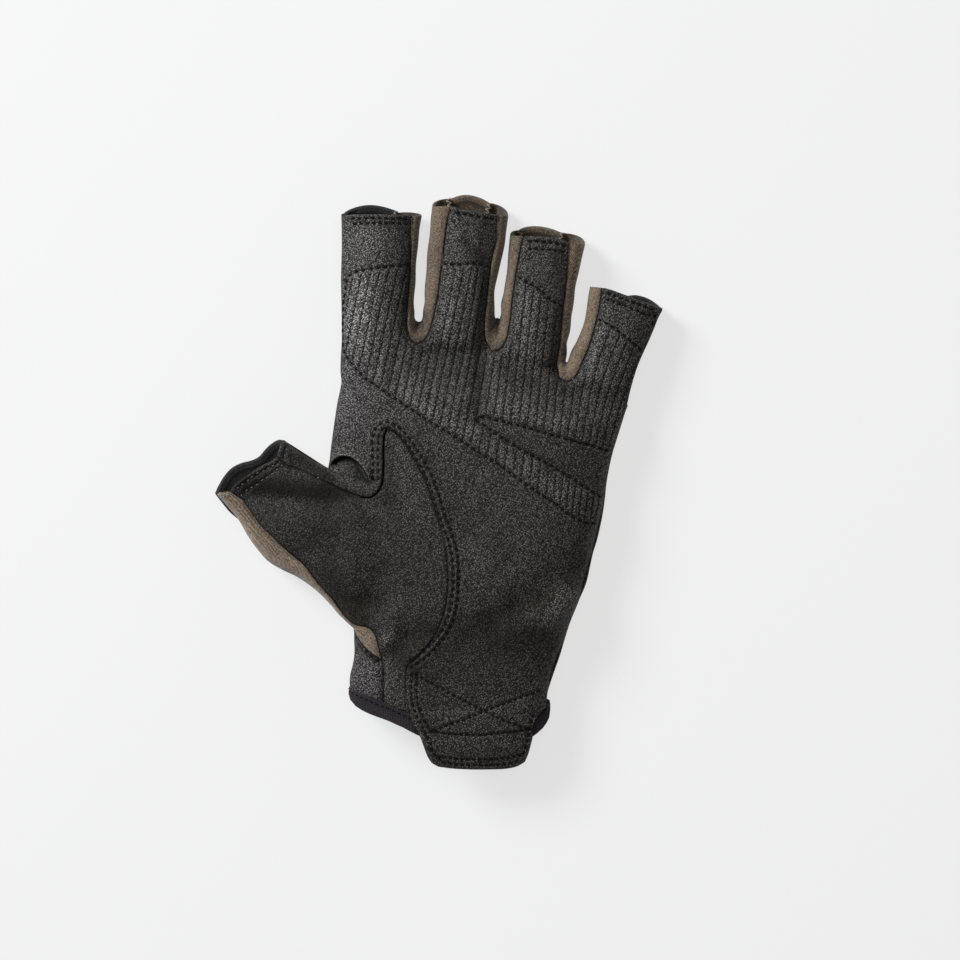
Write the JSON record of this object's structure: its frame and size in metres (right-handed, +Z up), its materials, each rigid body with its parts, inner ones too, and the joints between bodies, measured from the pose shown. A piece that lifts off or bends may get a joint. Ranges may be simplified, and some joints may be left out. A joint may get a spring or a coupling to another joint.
{
  "type": "fingerless training glove",
  "caption": "Hollow fingerless leather and knit glove for lifting weights, with a quilted grip field, side strips between the fingers, a bound cuff and a pull tab; lies on its back, palm up.",
  "frame": {"origin": "under the middle of the glove's overall box, on the surface that it lies on", "axes": "+Y from the wrist to the finger tips, +X across the palm to the little finger, +Z up out of the palm"},
  "size_m": [0.1655, 0.2116, 0.0244],
  "materials": {
    "suede": "dark grey synthetic suede with a fine pebbled nap, a little lighter where it is rubbed",
    "taupe_knit": "matt taupe stretch knit with fine diagonal ribs",
    "black_fabric": "matt black stretch fabric",
    "elastic_band": "black-purple elastic knit band, matt"
  },
  "bodies": {
    "root": {"palm_panel": "suede", "thumb_panel": "suede", "wrist_side_panel": "suede", "pull_tab": "suede", "fourchette_index_middle": "taupe_knit", "fourchette_middle_ring": "taupe_knit", "fourchette_ring_little": "taupe_knit", "thumb_gusset": "taupe_knit", "back_panel": "taupe_knit", "thumb_back": "black_fabric", "index_back": "black_fabric", "little_back": "black_fabric", "cuff_binding": "elastic_band"}
  },
  "joints": []
}
